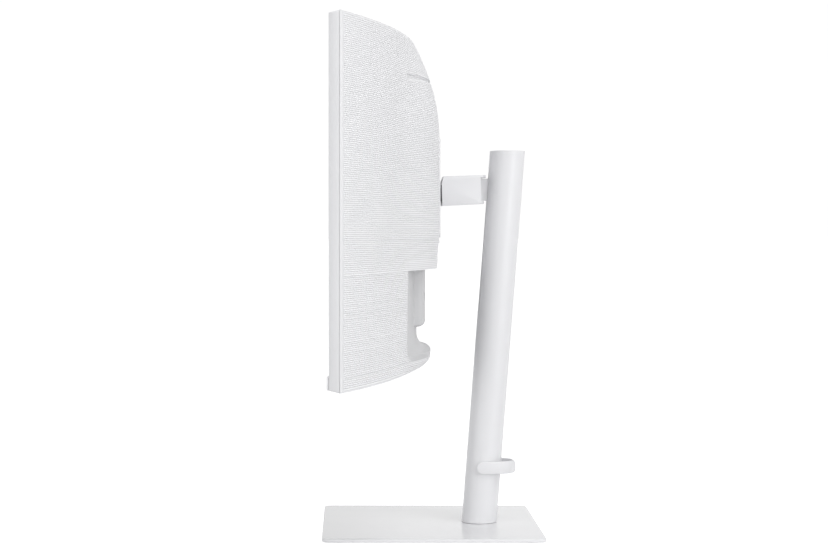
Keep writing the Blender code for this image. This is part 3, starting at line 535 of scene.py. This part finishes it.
def build_rear_cover():
    columns = cover_columns()
    rows = cover_rows()
    mesh = bmesh.new()
    bmesh.ops.create_grid(mesh, x_segments=len(columns) - 1, y_segments=len(rows) - 1, size=0.5)
    levels = []
    for x in columns:
        column = [z for z, _ in rows]
        if abs(x) <= VENT_HALF + SLACK:
            for edge in vent_edges(x):
                nearest = min(range(len(column)), key=lambda j: abs(column[j] - edge))
                column[nearest] = edge
        levels.append(column)
    deep = set()
    for vert in mesh.verts:
        i = round((vert.co.x + 0.5) * (len(columns) - 1))
        j = round((vert.co.y + 0.5) * (len(rows) - 1))
        x = columns[i]
        z = levels[i][j]
        groove = rows[j][1]
        vent_low, vent_high = vent_edges(x)
        if abs(x) <= VENT_HALF + SLACK and vent_low + SLACK < z < vent_high - SLACK:
            deep.add(vert)
        near_bay = max(0.0, 1 - abs(abs(x) - BAY_HALF) / BAY_BLEND)
        if BAY_BOTTOM < z < BAY_BOTTOM + BAY_CORNER:
            x -= math.copysign((BAY_HALF - bay_half(z)) * near_bay, x)
        y = cover_depth_y(x, z, groove)
        if i in (0, len(columns) - 1) or j in (0, len(rows) - 1):
            y = arc_y(x, SPLIT_RADIUS)
        vert.co = (x, y, z)
    bmesh.ops.reverse_faces(mesh, faces=mesh.faces[:])
    for face in [f for f in mesh.faces if sum(v in deep for v in f.verts) in (1, 3)]:
        sunk = [v in deep for v in face.verts]
        odd = sunk.index(sum(sunk) == 1)
        pair = [face.verts[(odd + 1) % 4], face.verts[(odd + 3) % 4]]
        bmesh.ops.connect_vert_pair(mesh, verts=pair)
    gone = []
    for face in mesh.faces:
        middle = face.calc_center_median()
        for left, right, low, high in HOLES.values():
            if left < middle.x < right and low < middle.z < high:
                gone.append(face)
                break
    bmesh.ops.delete(mesh, geom=gone, context="FACES")
    shade_cover(COVER_MOULDING, BAY_HALF + WALL_RUN / 2, BAY_BOTTOM, BAY_TOP, BAY_CORNER, BAY_TONE)
    cover = add_piece("ribbed_rear_cover", mesh, COVER_MOULDING, "display",
                      ("rear_cover",), sharp=50)
    wall = cover.modifiers.new("wall", "SOLIDIFY")
    wall.thickness = COVER_SKIN
    wall.offset = -1
    return cover


build_rear_cover()

# ---------------------------------------------------------------- front frame, lower bezel and screen
# The panel sits in a slim white frame that tapers towards the front. A deeper bezel strip is
# clipped over its lower edge. The screen is a matt dark panel with a thin black border.


def bend_to_curve(mesh, steps=72):
    """Cut a flat piece into strips along its width, then lay it on the screen's curve."""
    half = max(vert.co.x for vert in mesh.verts)
    for i in range(1, steps):
        x = half * (2 * i / steps - 1)
        bmesh.ops.bisect_plane(mesh, geom=mesh.verts[:] + mesh.edges[:] + mesh.faces[:], dist=1e-6,
                               plane_co=(x, 0, 0), plane_no=(1, 0, 0))
    for vert in mesh.verts:
        vert.co.y = arc_y(vert.co.x, 1.0 + vert.co.y)


def flat_block(low, high, corner=0.0, corner_axis=2, corner_steps=5, edge=0.0, edge_steps=2):
    """A block whose edges along one axis are rounded to a corner radius and the rest eased."""
    mesh = bmesh.new()
    bmesh.ops.create_cube(mesh, size=1.0)
    size = Vector(high) - Vector(low)
    bmesh.ops.scale(mesh, vec=size, verts=mesh.verts[:])
    bmesh.ops.translate(mesh, vec=(Vector(high) + Vector(low)) / 2, verts=mesh.verts[:])
    if corner:
        along = [e for e in mesh.edges
                 if abs((e.verts[0].co - e.verts[1].co).normalized()[corner_axis]) > 0.9]
        bmesh.ops.bevel(mesh, geom=along, offset=corner, segments=corner_steps, profile=0.5,
                        affect="EDGES", material=-1)
    if edge:
        sharp = [e for e in mesh.edges if e.calc_face_angle(0) > math.radians(40)]
        bmesh.ops.bevel(mesh, geom=sharp, offset=edge, segments=edge_steps, profile=0.5,
                        affect="EDGES", material=-1)
    return mesh


frame_low, frame_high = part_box("mid_frame")
glass_low, glass_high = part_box("lcd_glass")
FRAME_DEPTH = 0.0105
FRAME_DRAFT = 0.0027
FRAME_CORNER = 0.0030


def frame_outline(inset, steps_x=72, steps_z=4, steps_corner=5):
    """A rounded rectangle drawn in from the frame's outer edge, as (x, z) points all round."""
    half_x = frame_high.x - inset
    half_z = (frame_high.z - frame_low.z) / 2 - inset
    corner = max(FRAME_CORNER - inset, 0.0004)
    middle = (frame_high.z + frame_low.z) / 2
    points = []
    for sign_x, sign_z, start, steps, along_x in ((1, 1, 0, steps_x, True), (-1, 1, 1, steps_z, False),
                                                  (-1, -1, 2, steps_x, True), (1, -1, 3, steps_z, False)):
        centre_x = sign_x * (half_x - corner)
        centre_z = sign_z * (half_z - corner)
        for i in range(steps_corner + 1):
            angle = math.pi / 2 * (start + i / steps_corner)
            points.append((centre_x + corner * math.cos(angle), middle + centre_z + corner * math.sin(angle)))
        last_x, last_z = points[-1]
        for i in range(1, steps):
            share = i / steps
            if along_x:
                points.append((last_x - sign_x * 2 * (half_x - corner) * share, last_z))
            else:
                points.append((last_x, last_z - sign_z * 2 * (half_z - corner) * share))
    return points


def build_mid_frame():
    border = frame_high.x - glass_high.x - GAP
    section = ((0.0, FRAME_DEPTH), (0.0, FRAME_DEPTH - 0.0005), (FRAME_DRAFT - 0.0003, 0.0006),
               (FRAME_DRAFT + 0.0001, 0.0001), (FRAME_DRAFT + 0.0006, 0.0), (border - 0.0003, 0.0),
               (border, 0.0003), (border, FRAME_DEPTH), (0.0, FRAME_DEPTH))
    rings = [frame_outline(inset) for inset, _ in section]
    count = len(rings[0])
    mesh = bmesh.new()
    bmesh.ops.create_grid(mesh, x_segments=count, y_segments=len(section) - 1, size=0.5)
    for vert in mesh.verts:
        i = round((vert.co.x + 0.5) * count) % count
        j = round((vert.co.y + 0.5) * (len(section) - 1))
        x, z = rings[j][i]
        vert.co = (x, arc_y(x, 1.0 + section[j][1]), z)
    bmesh.ops.remove_doubles(mesh, verts=mesh.verts[:], dist=1e-7)
    bmesh.ops.recalc_face_normals(mesh, faces=mesh.faces[:])
    add_piece("front_frame", mesh, WHITE_MOULDING, "display", ("mid_frame",), sharp=35)


build_mid_frame()

BEZEL_PROUD = 0.0020
bezel_low, bezel_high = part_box("lower_bezel")
bezel = flat_block((bezel_low.x, -BEZEL_PROUD, bezel_low.z), (bezel_high.x, -GAP, bezel_high.z),
                   corner=0.0012, corner_axis=1, corner_steps=3, edge=0.0005, edge_steps=2)
bend_to_curve(bezel)
add_piece("lower_bezel_strip", bezel, WHITE_MOULDING, "display", ("lower_bezel",))


GLASS_BACK = 0.0025
LIT_HALF_X = 0.3915
LIT_HALF_Z = 0.1705
LIT_MIDDLE_Z = 0.3775


def screen_look():
    """Anti-glare panel, off: near black, a shade lighter in the lit area than in its border."""
    look = grained("screen_panel", (0.010, 0.011, 0.014), 0.32, grain_scale=6000, grain_depth=0.000006,
                   shade_depth=0.05)
    nodes = look.node_tree.nodes
    links = look.node_tree.links
    where = nodes.new("ShaderNodeTexCoord")
    parts = nodes.new("ShaderNodeSeparateXYZ")
    links.new(where.outputs["Object"], parts.inputs["Vector"])
    masks = []
    for axis, centre, half in (("X", 0.0, LIT_HALF_X), ("Z", LIT_MIDDLE_Z, LIT_HALF_Z)):
        offset = nodes.new("ShaderNodeMath")
        offset.operation = "SUBTRACT"
        offset.inputs[1].default_value = centre
        links.new(parts.outputs[axis], offset.inputs[0])
        size = nodes.new("ShaderNodeMath")
        size.operation = "ABSOLUTE"
        links.new(offset.outputs[0], size.inputs[0])
        inside = nodes.new("ShaderNodeMath")
        inside.operation = "LESS_THAN"
        inside.inputs[1].default_value = half
        links.new(size.outputs[0], inside.inputs[0])
        masks.append(inside)
    both = nodes.new("ShaderNodeMath")
    both.operation = "MULTIPLY"
    links.new(masks[0].outputs[0], both.inputs[0])
    links.new(masks[1].outputs[0], both.inputs[1])
    tone = nodes.new("ShaderNodeMix")
    tone.data_type = "RGBA"
    tone.inputs["A"].default_value = (0.002, 0.002, 0.002, 1)
    tone.inputs["B"].default_value = (0.020, 0.022, 0.027, 1)
    links.new(both.outputs[0], tone.inputs["Factor"])
    links.new(tone.outputs["Result"], nodes["Principled BSDF"].inputs["Base Color"])
    return look


glass = flat_block((glass_low.x, GAP, glass_low.z), (glass_high.x, GLASS_BACK, glass_high.z),
                   corner=0.0008, corner_axis=1, corner_steps=2, edge=0.0002, edge_steps=1)
bend_to_curve(glass)
add_piece("screen_panel", glass, screen_look(), "display", ("lcd_glass",))

# ---------------------------------------------------------------- stand mount on the display
# A square white plate seated in the cover takes the stand's neck. Under it is the release button.

plate = flat_block(seat_low, seat_high, corner=0.0040, corner_axis=1, corner_steps=6, edge=0.0006)
add_piece("stand_mount_plate", plate, WHITE_MOULDING, "display", ("mount_plate",))
button = flat_block(release_low, release_high, corner=0.0012, corner_axis=1, corner_steps=4,
                    edge=0.0004)
add_piece("stand_release_button", button, WHITE_MOULDING, "release",
          ("release_button",))
jog_low, jog_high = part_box("jog_button")
jog = bmesh.new()
jog_radius = (jog_high.x - jog_low.x) / 2
bmesh.ops.create_cone(jog, cap_ends=True, segments=48, radius1=jog_radius, radius2=jog_radius,
                      depth=jog_high.z - jog_low.z)
bmesh.ops.translate(jog, vec=(jog_low + jog_high) / 2, verts=jog.verts[:])
rims = [e for e in jog.edges if e.calc_face_angle(0) > 1.0]
bmesh.ops.bevel(jog, geom=rims, offset=0.0010, segments=4, profile=0.5, affect="EDGES", material=-1)
add_piece("jog_dial_button", jog, WHITE_MOULDING, "jog", ("jog_button",))

# ---------------------------------------------------------------- base plate, feet and base screws
# A thick square steel plate with eased edges and small corner radii, in a satin white paint with
# a clear coat, so that it mirrors the pole softly.

WHITE_PAINT = grained("white_paint", (0.80, 0.80, 0.815), 0.36, grain_scale=1800,
                      grain_depth=0.00003, shade_depth=0.02)
BASE_PAINT = grained("base_paint", (0.80, 0.80, 0.815), 0.36, grain_scale=1800,
                     grain_depth=0.00001, shade_depth=0.02, specular=0.9, coat=0.6)
base_low, base_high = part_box("base_plate")
base = flat_block(base_low, base_high, corner=0.0080, corner_axis=2, corner_steps=12, edge=0.0009,
                  edge_steps=3)
add_piece("square_base_plate", base, BASE_PAINT, "stand", ("base_plate",))

# ---------------------------------------------------------------- pole
# A drawn aluminium tube, painted white, cut level at both ends and closed with a flush cap. A slot
# in its front lets the carriage's neck travel.

LEAN = math.radians(4.37)
POLE_FOOT = Vector((0, 0.0582, base_high.z))
POLE_RADIUS = 0.0205
POLE_WALL = 0.0020
POLE_TOP = 0.4403
SLOT_HALF = 0.0050
SLOT_LOW = 0.2448
SLOT_HIGH = 0.4168
POLE_EASE = 0.0003
lean_place = Matrix.Translation(POLE_FOOT) @ Matrix.Rotation(-LEAN, 4, "X")


def carve(piece, cutters):
    """Cut closed tools out of a piece, keep the result and drop the tools."""
    for cutter in cutters:
        change = piece.modifiers.new("carve", "BOOLEAN")
        change.operation = "DIFFERENCE"
        change.solver = "EXACT"
        change.object = cutter
    graph = bpy.context.evaluated_depsgraph_get()
    made = bpy.data.meshes.new_from_object(piece.evaluated_get(graph))
    piece.modifiers.clear()
    piece.data = made
    made.shade_smooth()
    made.set_sharp_from_angle(angle=math.radians(40))
    for cutter in cutters:
        bpy.data.objects.remove(cutter, do_unlink=True)


def cutter_of(mesh):
    data = bpy.data.meshes.new("cutter")
    mesh.to_mesh(data)
    mesh.free()
    made = bpy.data.objects.new("cutter", data)
    bpy.context.scene.collection.objects.link(made)
    return made


def build_pole():
    low = POLE_FOOT.z + GAP
    mesh = bmesh.new()
    wall = [mesh.verts.new((radius, 0, height)) for radius, height in (
        (POLE_RADIUS - POLE_WALL, 0), (POLE_RADIUS - POLE_EASE, 0), (POLE_RADIUS, POLE_EASE),
        (POLE_RADIUS, 1 - 2 * POLE_EASE), (POLE_RADIUS - 2 * POLE_EASE, 1), (POLE_RADIUS - POLE_WALL, 1))]
    section = mesh.faces.new(wall)
    bmesh.ops.spin(mesh, geom=[section] + section.edges[:] + section.verts[:], cent=(0, 0, 0),
                   axis=(0, 0, 1), angle=2 * math.pi, steps=128, use_merge=True)
    inner = [f for f in mesh.faces if abs(f.normal.z) < 0.5 and len(f.verts) > 4]
    bmesh.ops.delete(mesh, geom=inner, context="FACES_ONLY")
    for vert in mesh.verts:
        level = low if vert.co.z < 0.5 else POLE_TOP
        below = (1 - vert.co.z) if vert.co.z > 0.5 else -vert.co.z
        vert.co.z = (level - POLE_FOOT.z + vert.co.y * math.sin(LEAN)) / math.cos(LEAN) - below
    bmesh.ops.remove_doubles(mesh, verts=mesh.verts[:], dist=1e-6)
    bmesh.ops.recalc_face_normals(mesh, faces=mesh.faces[:])
    mesh.transform(lean_place)
    pole = add_piece("round_pole", mesh, WHITE_PAINT, "stand", ("pole_tube",))
    slot = flat_block((-SLOT_HALF, -2 * POLE_RADIUS, SLOT_LOW),
                      (SLOT_HALF, -POLE_RADIUS / 2, SLOT_HIGH),
                      corner=SLOT_HALF * 0.98, corner_axis=1, corner_steps=8)
    slot.transform(lean_place)
    carve(pole, [cutter_of(slot)])


build_pole()

# ---------------------------------------------------------------- cable clip
# A moulded white strap that snaps round the pole's sides and leaves a loop behind it for cables.

clip_low, clip_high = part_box("cable_clip")
CLIP_WALL = 0.0025
CLIP_EASE = 0.0009
CLIP_NOSE = 0.0045
CLIP_TIP_STEPS = 12
CLIP_TURN_STEPS = 48


def build_clip():
    outer = clip_high.x
    axis_y = POLE_FOOT.y + ((clip_low.z + clip_high.z) / 2 - POLE_FOOT.z) * math.tan(LEAN)
    reach = clip_high.y - axis_y
    half = (clip_high.z - clip_low.z) / 2
    middle = (clip_high.z + clip_low.z) / 2
    start = clip_low.y - axis_y
    path = []
    for i in range(CLIP_TIP_STEPS + 1):
        angle = math.pi / 2 * i / CLIP_TIP_STEPS
        path.append((outer, start + half * (1 - math.cos(angle)), half * math.sin(angle)))
    for i in range(CLIP_TURN_STEPS + 1):
        angle = math.pi * i / CLIP_TURN_STEPS
        y = reach * math.sin(angle)
        past = max(0.0, y - (reach - CLIP_NOSE)) / CLIP_NOSE
        path.append((outer * math.cos(angle), y,
                     half - CLIP_NOSE * (1 - math.sqrt(max(0.0, 1 - past * past))) * 0.8))
    path += [(-x, y, tall) for x, y, tall in path[:CLIP_TIP_STEPS + 1][::-1]]
    section = []
    for centre_u, centre_v, start_angle in ((1, 1, 0), (0, 1, 1), (0, 0, 2), (1, 0, 3)):
        for i in range(4):
            section.append((centre_u, centre_v, math.pi / 2 * (start_angle + i / 3)))
    mesh = bmesh.new()
    bmesh.ops.create_grid(mesh, x_segments=len(path) - 1, y_segments=len(section), size=0.5)
    for vert in mesh.verts:
        i = round((vert.co.x + 0.5) * (len(path) - 1))
        centre_u, centre_v, angle = section[round((vert.co.y + 0.5) * len(section)) % len(section)]
        x, y, tall = path[i]
        tall = max(tall, 0.0002)
        ease = min(CLIP_EASE, tall * 0.9)
        inward = CLIP_WALL * (1 - centre_u) + ease * ((1 - math.cos(angle)) if centre_u
                                                     else -(1 + math.cos(angle)))
        normal = Vector((x / outer ** 2, max(0.0, y) / reach ** 2)).normalized()
        up = tall - ease * (1 - math.sin(angle)) if centre_v else -tall + ease * (1 + math.sin(angle))
        vert.co = (x - normal.x * inward, axis_y + y - normal.y * inward, middle + up)
    bmesh.ops.remove_doubles(mesh, verts=mesh.verts[:], dist=1e-7)
    bmesh.ops.holes_fill(mesh, edges=[e for e in mesh.edges if e.is_boundary], sides=0)
    bmesh.ops.recalc_face_normals(mesh, faces=mesh.faces[:])
    add_piece("cable_clip_strap", mesh, WHITE_MOULDING, "stand", ("cable_clip",))


build_clip()

# ---------------------------------------------------------------- arm cover and pole cap
# The arm is a moulded sleeve; its roof and floor run back round the swivel. A small cap closes its
# front above the neck.

ARM_INSIDE = 0.0166
CAP_SET_BACK = 0.0020
CAP_WALL = 0.0010
CAP_LOW = 0.4046
CAP_HIGH = 0.4068


def softened(node, name, look, body, width, sharp=30, steps=2):
    """A copy of a CAD node, cleaned to whole faces, with its edges eased."""
    mesh = bmesh.new()
    mesh.from_mesh(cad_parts[node].data)
    bmesh.ops.remove_doubles(mesh, verts=mesh.verts[:], dist=1e-6)
    bmesh.ops.dissolve_limit(mesh, angle_limit=math.radians(2), verts=mesh.verts[:],
                             edges=mesh.edges[:])
    edges = [e for e in mesh.edges if e.is_manifold and e.calc_face_angle(0) > math.radians(sharp)]
    bmesh.ops.bevel(mesh, geom=edges, offset=width, segments=steps, profile=0.5, affect="EDGES",
                    material=-1, clamp_overlap=True)
    return add_piece(name, mesh, look, body, (node,))


softened("arm_shell", "arm_sleeve", WHITE_MOULDING, "arm", 0.0005)
cap_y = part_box("arm_shell")[0].y + CAP_SET_BACK
front_cap = flat_block((-ARM_INSIDE, cap_y, CAP_LOW), (ARM_INSIDE, cap_y + CAP_WALL, CAP_HIGH))
add_piece("arm_front_cap", front_cap, WHITE_MOULDING, "arm")
softened("pole_cap", "flush_pole_cap", WHITE_MOULDING, "stand", 0.0004)

# ---------------------------------------------------------------- metal parts of the lift, arm and neck
# The carriage and the arm's core are painted white. The neck is coloured dark grey as painted shade for the
# gap between the display's back and the arm. The pins, brackets, screws, rod and plug are zinc-plated, with
# fine brushing.

# Painted shade: the neck's dark grey stands in for the shade in the gap between the display and the arm.
NECK_PAINTED_SHADE = grained("dark_paint", (0.22, 0.22, 0.23), 0.40, grain_scale=1800, grain_depth=0.00003)
PLATED_STEEL = grained("plated_steel", (0.56, 0.56, 0.57), 0.34, grain_scale=900, grain_depth=0.00001,
                       shade_depth=0.10, metallic=1.0)
for node, look in (("carriage", WHITE_PAINT), ("arm_core", WHITE_PAINT), ("tilt_neck", NECK_PAINTED_SHADE)):
    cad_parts[node].data.materials.clear()
    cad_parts[node].data.materials.append(look)
for node in ("gas_rod", "swivel_pin", "tilt_pin", "vesa_bracket",
             "pole_foot_plug", "base_screw_1", "base_screw_2", "base_screw_3", "vesa_screw_1",
             "vesa_screw_2", "vesa_screw_3", "vesa_screw_4"):
    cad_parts[node].data.materials.clear()
    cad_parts[node].data.materials.append(PLATED_STEEL)

# ---------------------------------------------------------------- inner and black parts
# Rubber feet, sockets, boards, panel layers and the rest, each in its own finish.

RUBBER = grained("foot_rubber", (0.045, 0.045, 0.047), 0.85, grain_scale=1200, grain_depth=0.00006)
BLACK_MOULDING = grained("black_moulding", (0.025, 0.025, 0.028), 0.5)
CLEAR_SHEET = grained("optical_plastic", (0.85, 0.87, 0.88), 0.2)
PANEL_METAL = grained("panel_metal", (0.70, 0.70, 0.72), 0.35, metallic=1.0)
BOARD = grained("circuit_board", (0.03, 0.16, 0.07), 0.45)
for look, nodes in ((RUBBER, ("rubber_foot_1", "rubber_foot_2", "rubber_foot_3", "rubber_foot_4")),
                    (BLACK_MOULDING, ("power_inlet", "hdmi_socket", "displayport_socket",
                                      "usb_c_socket", "network_socket", "usb_a_socket",
                                      "audio_socket", "gas_cylinder", "power_transformer",
                                      "power_capacitor", "speaker_left", "speaker_right")),
                    (CLEAR_SHEET, ("optical_sheets", "light_guide")),
                    (PANEL_METAL, ("panel_chassis",)),
                    (BOARD, ("main_board", "power_board", "led_strip"))):
    for node in nodes:
        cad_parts[node].data.materials.clear()
        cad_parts[node].data.materials.append(look)
